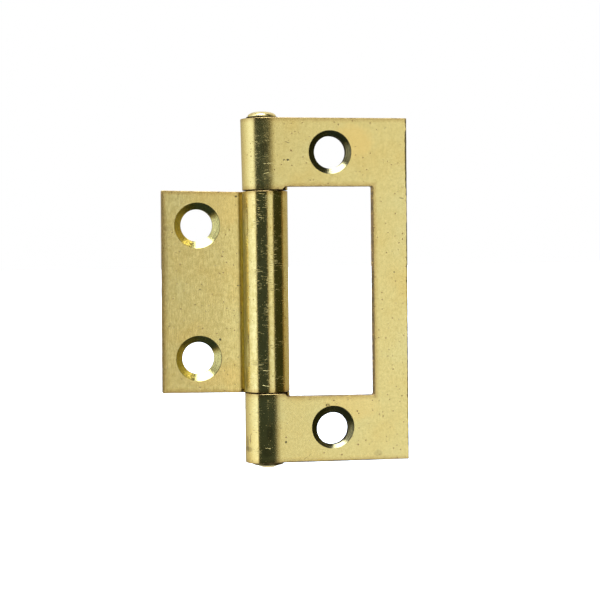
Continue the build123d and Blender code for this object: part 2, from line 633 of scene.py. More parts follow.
class Bench:
    """A mesh under work in edit mode, in millimetres, shaped with Blender's own operators."""

    def __init__(self, name: str) -> None:
        """Take the primitive that was just added.

        Args:
            name: The piece's name.
        """
        self.thing = bpy.context.object
        self.thing.name = name
        self.thing.data.name = name
        bpy.ops.object.transform_apply(location=True, rotation=True, scale=True)
        bpy.ops.object.mode_set(mode="EDIT")

    @staticmethod
    def clear() -> None:
        """Leave edit mode, with nothing selected."""
        if bpy.context.mode != "OBJECT":
            bpy.ops.object.mode_set(mode="OBJECT")
        bpy.ops.object.select_all(action="DESELECT")

    @classmethod
    def plate(cls, name: str, low: Vector, high: Vector) -> "Bench":
        """Start from an upright plane that faces -Y.

        Args:
            name: The piece's name.
            low: Its lowest corner.
            high: Its highest corner, at the same depth.

        Returns:
            The mesh under work.
        """
        cls.clear()
        middle = (low + high) / 2
        size = high - low
        bpy.ops.mesh.primitive_plane_add(size=1, location=middle, rotation=(math.pi / 2, 0, 0))
        bench = cls(name)
        bpy.ops.transform.resize(value=(size.x, 1, size.z), center_override=middle)
        return bench

    @classmethod
    def disc(cls, name: str, radius: float, centre: Vector, tilt: float, sides: int) -> "Bench":
        """Start from a filled circle, with its face selected.

        Args:
            name: The piece's name.
            radius: Its radius.
            centre: Its centre.
            tilt: Its turn about X, in radians; 0 faces +Z.
            sides: How many sides it has.

        Returns:
            The mesh under work.
        """
        cls.clear()
        bpy.ops.mesh.primitive_circle_add(
            vertices=sides, radius=radius, fill_type="NGON", location=centre, rotation=(tilt, 0, 0)
        )
        bench = cls(name)
        bpy.ops.mesh.select_all(action="SELECT")
        return bench

    def pick(self, part: Part, test: Callable[[Vector, Any], bool]) -> None:
        """Select what a test accepts, and nothing else.

        Args:
            part: What to look through.
            test: Takes an element's middle and the element.
        """
        bpy.ops.mesh.select_mode(type=part.name)
        bpy.ops.mesh.select_all(action="DESELECT")
        mesh = bmesh.from_edit_mesh(self.thing.data)
        for item in getattr(mesh, part.value):
            if test(middle_of(item), item):
                item.select_set(True)
        mesh.select_flush_mode()
        bmesh.update_edit_mesh(self.thing.data)

    def move_corners(self, moves: Sequence[tuple[float, float, tuple[float, float, float]]]) -> None:
        """Move corners of a flat blank.

        Args:
            moves: Where each corner lies, in X and Z, and its step.
        """
        for x, z, step in moves:
            self.pick(Part.VERT, lambda at, vert: math.hypot(at.x - x, at.z - z) < SAME)
            bpy.ops.transform.translate(value=step)

    @staticmethod
    def cut(point: Sequence[float], normal: Sequence[float]) -> None:
        """Cut every face along a plane."""
        bpy.ops.mesh.select_all(action="SELECT")
        bpy.ops.mesh.bisect(plane_co=point, plane_no=normal)

    @staticmethod
    def extrude(step: Sequence[float]) -> None:
        """Pull the selected face out."""
        bpy.ops.mesh.extrude_region_move(TRANSFORM_OT_translate={"value": step})

    @staticmethod
    def outward() -> None:
        """Turn every face of a closed shape outwards."""
        bpy.ops.mesh.select_all(action="SELECT")
        bpy.ops.mesh.normals_make_consistent(inside=False)

    @staticmethod
    def bevel_sharp(width: float, steps: int) -> None:
        """Round every sharp edge.

        Args:
            width: Width of the round.
            steps: Faces across it.
        """
        bpy.ops.mesh.select_mode(type=Part.EDGE.name)
        bpy.ops.mesh.select_all(action="DESELECT")
        bpy.ops.mesh.edges_select_sharp(sharpness=math.radians(SHARP))
        bpy.ops.mesh.bevel(offset=width, segments=steps, affect="EDGES", clamp_overlap=True)

    def rest(self) -> bpy.types.Object:
        """Leave edit mode, and hand back the object."""
        bpy.ops.object.mode_set(mode="OBJECT")
        return self.thing

    def apply(self, kind: str, settings: Mapping[str, Any]) -> None:
        """Add a modifier and apply it.

        Args:
            kind: The modifier's type.
            settings: Its settings.
        """
        self.rest()
        modifier = self.thing.modifiers.new(kind.lower(), kind)
        for name, value in settings.items():
            setattr(modifier, name, value)
        bpy.context.view_layer.objects.active = self.thing
        bpy.ops.object.modifier_apply(modifier=modifier.name)
        bpy.ops.object.mode_set(mode="EDIT")

    def carve(self, tool: "Bench") -> None:
        """Take a tool's shape out of the mesh, and put the tool away.

        Args:
            tool: A closed shape under work.
        """
        tool.outward()
        self.clear()
        self.apply("BOOLEAN", {"operation": "DIFFERENCE", "solver": "EXACT", "object": tool.thing})
        self.rest()
        bpy.data.objects.remove(tool.thing)
        bpy.context.view_layer.objects.active = self.thing
        bpy.ops.object.mode_set(mode="EDIT")

    def deliver(self, place: Matrix, node: str, body: str, slot: str) -> bpy.types.Object:
        """Smooth the finished mesh, set it in the frame in metres, and put it in its solid's place: on its
        body, under the solid's name, with the solid hidden.

        Args:
            place: Where the mesh's own origin goes, in millimetres.
            node: The solid that it stands for.
            body: The body that it moves with.
            slot: The slot of its finish; not used.

        Returns:
            The finished piece, at the origin.
        """
        self.clear()
        self.thing.select_set(True)
        bpy.context.view_layer.objects.active = self.thing
        bpy.ops.object.shade_smooth_by_angle(angle=math.radians(38))
        self.apply("WEIGHTED_NORMAL", {"keep_sharp": True, "weight": 60})
        self.rest()
        self.thing.matrix_world = Matrix.Scale(MM, 4) @ place
        bpy.ops.object.transform_apply(location=True, rotation=True, scale=True)
        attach(self.thing, body)
        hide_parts(node)
        self.thing.name = f"{node}_dressed"
        return self.thing


@dataclass(frozen=True)
class Roll:
    """Section that both leaves share: flat sheet, a gentle bend, a short slope, then the roll."""

    sheet: float
    knuckle_r: float
    flat_offset: float
    bend_angle: float = 9.0
    seam_gap: float = 0.3
    roll_steps: int = 110
    bend_steps: int = 10

    @property
    def bend(self) -> float:
        """Angle of the bend, in radians."""
        return math.radians(self.bend_angle)

    @property
    def roll_turn(self) -> float:
        """Angle of the roll, in radians, from the slope to its seam."""
        seam = math.asin((self.flat_offset - self.sheet - self.seam_gap) / self.knuckle_r)
        return math.radians(270.0 - self.bend_angle) + seam


@dataclass(frozen=True)
class Knuckle:
    """One rolled length of a leaf: its ends along the pin, and how its bend was pressed."""

    roll: Roll
    low: float
    high: float
    bend_r: float
    proud: float = 0.0
    flare: float = 0.0
    droop: float = 0.0

    @property
    def slope(self) -> float:
        """Length of the straight slope between the bend and the roll."""
        drop = self.roll.flat_offset + self.proud - self.roll.knuckle_r * math.cos(self.roll.bend)
        return (drop - self.bend_r * (1 - math.cos(self.roll.bend))) / math.sin(self.roll.bend)

    @property
    def start(self) -> float:
        """Where the flat meets the bend."""
        reach = self.bend_r - self.roll.knuckle_r
        return reach * math.sin(self.roll.bend) + self.slope * math.cos(self.roll.bend)

    @staticmethod
    def pick_end(bench: Bench, level: float) -> None:
        """Select one end of the roll, past the pin's axis."""
        bench.pick(Part.VERT, lambda at, vert: at.x < -SAME and abs(at.z - level) < 0.1)

    def wind(self, bench: Bench, edge_x: float) -> None:
        """Draw the flat's end edge through the bend and the slope, and round the pin.

        Args:
            bench: The flat sheet.
            edge_x: Where its end edge lies.
        """

        def at_end(at: Vector, edge: Any) -> bool:
            return edge.is_boundary and abs(at.x - edge_x) < SAME and self.low < at.z < self.high

        def spin(steps: int, angle: float, centre: Sequence[float]) -> None:
            bpy.ops.mesh.spin(steps=steps, angle=angle, center=centre, axis=(0, 0, 1))

        def draw(step: Sequence[float]) -> None:
            bpy.ops.mesh.extrude_edges_move(TRANSFORM_OT_translate={"value": step})

        roll = self.roll
        bench.pick(Part.EDGE, at_end)
        if edge_x - self.start > SAME:
            draw((self.start - edge_x, 0, 0))
        spin(roll.bend_steps, roll.bend, (self.start, self.bend_r - roll.flat_offset - self.proud, 0))
        draw(Vector((-math.cos(roll.bend), math.sin(roll.bend), 0)) * self.slope)
        spin(roll.roll_steps, roll.roll_turn, (0, 0, 0))
        if self.flare:
            self.pick_end(bench, self.high)
            bpy.ops.transform.resize(value=(1 + self.flare, 1, 1), center_override=(0, 0, 0))
        if self.droop:
            self.pick_end(bench, self.low)
            lean = math.atan(self.droop / roll.knuckle_r)
            bpy.ops.transform.rotate(value=lean, orient_axis="Y", center_override=(0, 0, self.low))


@dataclass
class Leaf(ABC):
    """A blanked and rolled leaf, about the pin's axis: the flat reaches out along +X at -Y."""

    roll: Roll
    length: float
    reach: float
    hole_reach: float
    name: str
    body: str
    sink_side: SinkSide
    sink_angle: float
    sink_r: float
    hole_spacing: float
    cone_colour: Colour
    tooth: float
    roll_over: float
    roll_over_width: float
    seed: int
    # How far the upper and the lower countersink sit off their holes, aside and up
    rim_shifts: tuple[Step, Step] = ((0.0, 0.0), (0.0, 0.0))
    hole_r: float = 2.36
    tear: float = 0.016
    bend_margin: float = 0.2
    edge_round: float = 0.09
    rim_round: float = 0.05
    sink_sides: int = 96
    tool_spare: float = 0.4

    @abstractmethod
    def knuckles(self) -> list[Knuckle]:
        """Rolled lengths of the leaf."""

    @abstractmethod
    def cut_outline(self, bench: Bench) -> None:
        """Cut the flat blank to its outline."""

    @abstractmethod
    def edge_distance(self, out: Signal, z: Signal) -> Signal:
        """Distance to the nearest sheared edge, from a reach off the pin and a height."""

    def twist(self, bench: Bench) -> None:
        """Bring parts of the flat out of plane; a true leaf has none."""

    def face_at(self, z: float) -> float:
        """Depth of the countersunk face at a height."""
        return self.sink_face

    @property
    def way(self) -> int:
        """Which way the leaf reaches in the frame: 1, or -1 where it is turned half round."""
        return -self.sink_side.value

    @property
    def start(self) -> float:
        """Where the flat blank ends, towards the pin."""
        return max(knuckle.start for knuckle in self.knuckles())

    @property
    def front(self) -> float:
        """Depth of the flat's outside."""
        return -self.roll.flat_offset

    @property
    def sink_face(self) -> float:
        """Depth of the face that carries the countersinks."""
        return self.front if self.sink_side is SinkSide.OUTSIDE else self.front + self.roll.sheet

    def rim_at(self, side: int) -> Vector:
        """Middle of a countersink's rim.

        Args:
            side: 1 for the upper one, -1 for the lower one.

        Returns:
            The point, at the depth of the face.
        """
        height = side * self.hole_spacing / 2
        aside, up = self.rim_shifts[0 if side > 0 else 1]
        return Vector((self.hole_reach + aside, self.face_at(height), height + up))

    def blank(self) -> Bench:
        """Make the flat blank, with its outline frayed and a narrow strip of faces along it.

        Returns:
            The flat sheet, with no thickness yet.
        """
        half = self.length / 2
        low = Vector((self.start, self.front, -half))
        bench = Bench.plate(self.name, low, Vector((self.reach, self.front, half)))
        self.cut_outline(bench)
        mesh = bmesh.from_edit_mesh(bench.thing.data)
        sheared = [
            (middle_of(edge), edge.calc_length())
            for edge in mesh.edges
            if edge.is_boundary and middle_of(edge).x > self.start + SAME
        ]
        for middle, length in sheared:
            cuts = round(length / self.tooth) - 1
            if cuts > 0:
                bench.pick(Part.EDGE, lambda at, edge: (at - middle).length < SAME)
                bpy.ops.mesh.subdivide(number_cuts=cuts)
        clear_of_bend = self.start + self.bend_margin
        bench.pick(Part.VERT, lambda at, vert: vert.is_boundary and at.x > clear_of_bend)
        bpy.ops.transform.vertex_random(offset=self.tear, seed=self.seed, wait_for_input=False)
        bpy.ops.transform.resize(value=(1, 0, 1), center_override=(0, self.front, 0))
        bench.pick(Part.FACE, lambda at, face: True)
        bpy.ops.mesh.inset(thickness=self.roll_over_width, use_boundary=True)
        return bench

    def wind(self, bench: Bench) -> None:
        """Turn the bends and the rolls, and give the sheet its thickness.

        Args:
            bench: The flat blank.
        """
        start = self.start
        self.twist(bench)
        for knuckle in self.knuckles():
            knuckle.wind(bench, start)
        bpy.ops.mesh.select_all(action="SELECT")
        bpy.ops.mesh.remove_doubles(threshold=SAME)
        bench.outward()
        mesh = bmesh.from_edit_mesh(bench.thing.data)
        if max(mesh.faces, key=lambda face: face.calc_area()).normal.y > 0:
            bpy.ops.mesh.flip_normals()
        bench.apply("SOLIDIFY", {"thickness": self.roll.sheet, "offset": -1.0, "use_even_offset": True})

    def soften(self, bench: Bench) -> None:
        """Let the face roll over along its outline, as under a press, and round the edges.

        Args:
            bench: The thick leaf, its edges still square.
        """
        clear_of_bend = self.start + self.bend_margin

        def on_face_edge(at: Vector, vert: Any) -> bool:
            walled = any(abs(face.normal.y) < 0.5 for face in vert.link_faces)
            return walled and at.x > clear_of_bend and abs(at.y - self.sink_face) < 0.3

        bench.pick(Part.VERT, on_face_edge)
        bpy.ops.transform.translate(value=(0, self.way * self.roll_over, 0))
        bench.bevel_sharp(self.edge_round, 3)

    def sink(self, bench: Bench) -> None:
        """Cut the countersunk screw holes.

        Args:
            bench: The rolled leaf.
        """
        slope = math.tan(math.radians(self.sink_angle / 2))
        cone = (self.sink_r - self.hole_r) / slope
        wide = self.sink_r + self.tool_spare * slope
        for side in (-1, 1):
            rim = self.rim_at(side)
            throat = Vector((self.hole_reach, rim.y + self.way * cone, side * self.hole_spacing / 2))
            top = rim + (rim - throat) * (self.tool_spare / cone)
            tool = Bench.disc("tool", wide, top, math.pi / 2, self.sink_sides)
            tool.extrude(throat - top)
            narrow = self.hole_r / wide
            bpy.ops.transform.resize(value=(narrow, 1, narrow), center_override=throat)
            tool.extrude((0, self.way * 2 * self.roll.sheet, 0))
            bench.carve(tool)

            def on_rim(at: Vector, edge: Any) -> bool:
                spread = math.hypot(at.x - rim.x, at.z - rim.z)
                return abs(spread - self.sink_r) < 0.04 and abs(at.y - rim.y) < 0.03

            bench.pick(Part.EDGE, on_rim)
            bpy.ops.mesh.bevel(offset=self.rim_round, segments=2, affect="EDGES")

    def dress_of(self, middle: Vector, normal: Vector) -> Dress:
        """Choose a face's finish by where it is and how it faces.

        Args:
            middle: The face's middle.
            normal: Its normal.

        Returns:
            The finish.
        """
        # Cones of the countersinks, and the straight walls of the outer leaf's holes, which take the end
        # finish with its painted shade
        for side in (-1, 1):
            rim = self.rim_at(side)
            spread = math.hypot(middle.x - rim.x, middle.z - rim.z)
            if spread < self.sink_r + 0.06 and abs(normal.y) < 0.93:
                walled = self.sink_side is SinkSide.OUTSIDE and abs(normal.y) < 0.2
                return Dress.END if walled else Dress.SINK
        # Ends of the roll, which may be flared and take the end finish with its painted shade, and the
        # sheared edges of the flat
        roll_r = self.roll.knuckle_r + 0.05 + max(-middle.x, 0) * 0.1
        if math.hypot(middle.x, middle.y) < roll_r:
            return Dress.END if abs(normal.z) > 0.93 else Dress.SHEET
        sheared = abs(normal.z) > 0.85 or abs(normal.y) < 0.55
        return Dress.SHEARED if sheared else Dress.SHEET

    def build(self, axis: Vector, finishes: Mapping[Dress, bpy.types.Material]) -> bpy.types.Object:
        """Model the leaf, dress it and set it in the frame.

        Args:
            axis: Where the pin's axis goes, in millimetres.
            finishes: A material for each slot.

        Returns:
            The finished leaf.
        """
        bench = self.blank()
        self.wind(bench)
        self.soften(bench)
        self.sink(bench)
        mesh = bench.rest().data
        for dress in Dress:
            mesh.materials.append(finishes[dress])
        for face in mesh.polygons:
            face.material_index = self.dress_of(face.center, face.normal).value
        place = Matrix.Translation((axis.x, axis.y, 0))
        if self.way < 0:
            place = place @ Matrix.Rotation(math.pi, 4, "Z")
        return bench.deliver(place, self.name, self.body, "plated_sheet")


@dataclass
class InnerLeaf(Leaf):
    """The inner leaf: one long knuckle, a shoulder beside it, and ends that run askew."""

    name: str = "inner_leaf"
    body: str = "inner"
    sink_side: SinkSide = SinkSide.INSIDE
    sink_angle: float = 106.0
    sink_r: float = 3.35
    hole_spacing: float = 19.5
    cone_colour: Colour = (0.55, 0.47, 0.16, 1.0)
    tooth: float = 0.65
    roll_over: float = 0.025
    roll_over_width: float = 0.5
    seed: int = 8
    bend_r: float = 6.6
    shoulder: float = 0.38
    shoulder_reach: float = 2.66
    skew_angle: float = 1.25
    lean_angle: float = 0.5

    @property
    def skew(self) -> float:
        """Slope of both ends."""
        return math.tan(math.radians(self.skew_angle))

    @property
    def lean(self) -> float:
        """Slope of the free edge."""
        return math.tan(math.radians(self.lean_angle))

    def knuckles(self) -> list[Knuckle]:
        """Rolled lengths of the leaf: one, along its whole side."""
        return [Knuckle(self.roll, -self.length / 2, self.length / 2, self.bend_r)]

    def cut_outline(self, bench: Bench) -> None:
        """Draw the shoulder out, and set both ends and the free edge askew.

        Args:
            bench: The flat blank.
        """
        half = self.length / 2
        first = self.shoulder_reach
        second = first + self.shoulder / 2
        for cut in (first, second):
            bench.cut((cut, 0, 0), (1, 0, 0))
        swing = self.lean * half
        top_rise = self.skew * (self.reach - swing - first)
        low_rise = self.skew * (self.reach + swing - second) - self.shoulder
        moves = [
            (second, half, (0, 0, self.skew * self.shoulder / 2)),
            (second, -half, (0, 0, -self.shoulder)),
            (self.reach, half, (-swing, 0, top_rise)),
            (self.reach, -half, (swing, 0, low_rise)),
        ]
        bench.move_corners(moves)

    def edge_distance(self, out: Signal, z: Signal) -> Signal:
        """Distance to the nearest sheared edge.

        Args:
            out: Reach off the pin.
            z: Height.

        Returns:
            The distance, in millimetres.
        """
        past_roll = (out - self.shoulder_reach).most(0.0)
        step = past_roll.least(self.shoulder / 2)
        above = self.length / 2 + past_roll * self.skew - z
        below = z + self.length / 2 + step * 2 - (past_roll - step) * self.skew
        return above.least(below).least(self.reach - out - z * self.lean)


@dataclass
class OuterLeaf(Leaf):
    """The outer leaf: two knuckles, and a window that takes the inner leaf when it folds."""

    name: str = "outer_leaf"
    body: str = "outer"
    sink_side: SinkSide = SinkSide.OUTSIDE
    sink_angle: float = 117.0
    sink_r: float = 3.15
    hole_spacing: float = 40.2
    cone_colour: Colour = (0.30, 0.255, 0.115, 1.0)
    tooth: float = 0.42
    roll_over: float = 0.010
    roll_over_width: float = 0.2
    seed: int = 3
    rim_shifts: tuple[Step, Step] = ((-0.10, 0.0), (-0.06, 0.29))
    window_reach: float = 15.35
    knuckle_face: float = 14.73
    step_reach: float = 2.0
    step: float = 0.42
    window_corner: float = 0.25
    upper_bend_r: float = 8.5
    lower_bend_r: float = 8.0
    lower_proud: float = 0.08
    upper_flare: float = 0.05
    top_over: float = 0.05
    low_skew: float = 0.25
    window_skew: float = 0.20
    clean_edge: float = 4.0

    @property
    def window_half(self) -> float:
        """Half of the window's height."""
        return self.knuckle_face + self.step

    @property
    def tilt(self) -> float:
        """Slope of the flat below the upper arm, which brings the lower knuckle's end out."""
        return self.lower_proud / (self.window_half + (self.knuckle_face + self.length / 2) / 2)

    def face_at(self, z: float) -> float:
        """Depth of the countersunk face at a height."""
        return self.sink_face - self.tilt * max(self.window_half - z, 0)

    def knuckles(self) -> list[Knuckle]:
        """Rolled lengths of the leaf.

        Returns:
            The upper one, a little flared, and the lower one, which stands proud and droops.
        """
        face = self.knuckle_face
        top = self.length / 2 + self.top_over
        foot = self.low_skew - self.length / 2
        return [
            Knuckle(self.roll, face, top, self.upper_bend_r, flare=self.upper_flare),
            Knuckle(self.roll, foot, -face, self.lower_bend_r, self.lower_proud, droop=self.low_skew),
        ]

    def twist(self, bench: Bench) -> None:
        """Tilt all below the upper arm, so that the lower arm stands a little proud.

        Args:
            bench: The flat blank.
        """
        bench.pick(Part.VERT, lambda at, vert: at.z < self.window_half)
        hinge_line = (0, self.front, self.window_half)
        bpy.ops.transform.rotate(value=math.atan(self.tilt), orient_axis="X", center_override=hinge_line)

    def inside(self, middle: Vector) -> bool:
        """Tell whether a point of the blank lies in the window."""
        slope_end = self.knuckle_face + min(max(middle.x - self.step_reach, 0), self.step)
        return middle.x < self.window_reach and abs(middle.z) < slope_end

    def cut_outline(self, bench: Bench) -> None:
        """Cut out the window with its stepped throat, and set two edges askew.

        Args:
            bench: The flat blank.
        """
        bench.cut((self.window_reach, 0, 0), (1, 0, 0))
        for side in (-1, 1):
            bench.cut((0, 0, side * self.window_half), (0, 0, 1))
            bench.cut((0, 0, side * self.knuckle_face), (0, 0, 1))
            bench.cut((self.step_reach, 0, side * self.knuckle_face), (1, 0, -side))
        bench.pick(Part.FACE, lambda at, face: self.inside(at))
        bpy.ops.mesh.delete(type="FACE")
        bpy.ops.mesh.select_all(action="SELECT")
        bpy.ops.mesh.dissolve_limited(angle_limit=math.radians(1))
        half = self.length / 2
        moves = [
            (self.start, half, (0, 0, self.top_over)),
            (self.reach, half, (0, 0, self.top_over)),
            (self.start, -half, (0, 0, self.low_skew)),
            (self.window_reach, -self.window_half, (0, 0, -self.window_skew)),
        ]
        bench.move_corners(moves)
        corners = (self.window_half, -self.window_half - self.window_skew)

        def in_corner(at: Vector, vert: Any) -> bool:
            return abs(at.x - self.window_reach) < SAME and min(abs(at.z - z) for z in corners) < SAME

        bench.pick(Part.VERT, in_corner)
        bpy.ops.mesh.bevel(offset=self.window_corner, segments=4, affect="VERTICES")

    def edge_distance(self, out: Signal, z: Signal) -> Signal:
        """Distance to the nearest sheared edge, stretched at the free edge, which is cleaner.

        Args:
            out: Reach off the pin.
            z: Height.

        Returns:
            The distance, in millimetres.
        """
        to_reach = self.reach - out
        past_throat = out - self.step_reach
        lift = (to_reach / (self.reach - self.start)).least(out / self.roll.knuckle_r + 1).least(1.0)
        above = self.length / 2 + self.top_over - z
        below = z + self.length / 2 - lift * self.low_skew
        outside = above.least(below).least(to_reach * self.clean_edge)
        past_step = past_throat.most(0.0).least(self.step) + self.knuckle_face
        sag = (past_throat / (self.window_reach - self.step_reach)).most(0.0) * self.window_skew
        past_window = (z - past_step).most(0 - z - past_step - sag)
        return outside.least(abs(past_window.most(out - self.window_reach)))


@dataclass
class Pin:
    """The hinge pin: a shank, a low dome on a thin collar, and a hammered end."""

    end: float
    shank_r: float
    top: float
    bottom: float
    name: str = "hinge_pin"
    body: str = "outer"
    shank_edge: float = 0.1
    head_r: float = 2.3
    head_off: float = -0.32
    collar: float = 0.33
    dome_r: float = 2.08
    dome_power: float = 2.5
    crown_r: float = 0.12
    peen_r: float = 2.3
    peen_collar: float = 0.30
    foot_r: float = 1.85
    foot_drop: float = 0.06
    nose_r: float = 1.1
    nose: float = 0.16
    tip: tuple[Ring, Ring] = ((0.6, 0.06), (0.2, 0.0))
    sides: int = 96
    rings: int = 10
    dent: float = 0.03
    dent_seed: int = 4
    edge_round: float = 0.05

    def head(self) -> list[Ring]:
        """Rings of the head.

        Returns:
            Radius of each ring, and its height above the knuckle.
        """
        rise = self.top - self.end - self.collar
        rings = [(self.head_r, 0.0), (self.head_r, self.collar), (self.dome_r, self.collar)]
        for ring in range(1, self.rings + 1):
            lift = math.sin(math.pi / 2 * ring / self.rings)
            spread = (1 - lift**self.dome_power) ** (1 / self.dome_power)
            rings.append((max(self.dome_r * spread, self.crown_r), self.collar + rise * lift))
        return rings

    def peen(self) -> list[Ring]:
        """Rings of the hammered end.

        Returns:
            Radius of each ring, and its depth below the knuckle.
        """
        drop = -self.end - self.bottom
        foot = self.peen_collar + self.foot_drop
        cone = drop - self.nose - foot
        rings = [(self.peen_r, 0.0), (self.peen_r, self.peen_collar), (self.foot_r, foot)]
        for share in (0.25, 0.5, 0.75, 1.0):
            rings.append((self.foot_r + (self.nose_r - self.foot_r) * share, foot + cone * share))
        return rings + [(wide, drop - back) for wide, back in self.tip]

    def cap(self, bench: Bench, way: int, rings: Sequence[Ring]) -> None:
        """Raise a head on one end of the shank, ring by ring.

        Args:
            bench: The pin under work.
            way: 1 for the top, -1 for the bottom.
            rings: Radius of each ring, and its height past the shank's end.
        """
        bench.pick(Part.FACE, lambda at, face: face.normal.z * way > 0.9)
        bpy.ops.mesh.inset(thickness=self.shank_edge)
        radius = self.shank_r - self.shank_edge
        level = 0.0
        for wide, height in rings:
            if height > level or wide < radius:
                bench.extrude((0, 0, way * (height - level)))
            middle = (0, 0, way * (self.end + height))
            bpy.ops.transform.resize(value=(wide / radius, wide / radius, 1), center_override=middle)
            radius, level = wide, height

    def build(self, axis: Vector, material: bpy.types.Material) -> bpy.types.Object:
        """Model the pin, dress it and set it in the frame.

        Args:
            axis: Where the pin's axis goes, in millimetres.
            material: The pin's finish.

        Returns:
            The finished pin.
        """
        foot = Vector((0, 0, -self.end))
        bench = Bench.disc(self.name, self.shank_r, foot, 0.0, self.sides)
        bench.extrude((0, 0, 2 * self.end))
        bench.outward()
        self.cap(bench, 1, self.head())
        self.cap(bench, -1, self.peen())
        bench.pick(Part.VERT, lambda at, vert: at.z > self.end + SAME)
        bpy.ops.transform.translate(value=(self.head_off, 0, 0))
        hammered = -self.end - self.peen_collar - 0.02
        bench.pick(Part.VERT, lambda at, vert: self.bottom + 0.05 < at.z < hammered)
        bpy.ops.transform.vertex_random(offset=self.dent, seed=self.dent_seed, wait_for_input=False)
        bench.bevel_sharp(self.edge_round, 2)
        bench.outward()
        bench.rest().data.materials.append(material)
        place = Matrix.Translation((axis.x, axis.y, 0))
        return bench.deliver(place, self.name, self.body, "plated_pin")


@dataclass(frozen=True)
class Band:
    """A soft box of the studio: its sides as angles from the camera's axis, and its light."""

    left: float
    right: float
    soft_left: float
    soft_right: float
    low: float
    high: float
    soft_height: float
    level: float
    gain: float
    gain_from: float
    gain_to: float
    fade: float = 0.0

    def light(self, turn: Signal, height: Signal) -> Signal:
        """Light of the box in a direction.

        Args:
            turn: Angle round the upright, in degrees from the camera's axis.
            height: Angle above the horizon, in degrees.

        Returns:
            The box's share of the light there.
        """
        left, right, tall = self.soft_left / 2, self.soft_right / 2, self.soft_height / 2
        across = turn.rise(self.left - left, self.left + left)
        across = across * turn.rise(self.right + right, self.right - right)
        up = height.rise(self.low - tall, self.low + tall)
        up = up * height.rise(self.high + tall, self.high - tall)
        level = self.level + turn.rise(self.gain_from, self.gain_to) * self.gain
        return across * up * level * (1 - height.rise(-4.0, 6.0) * self.fade)


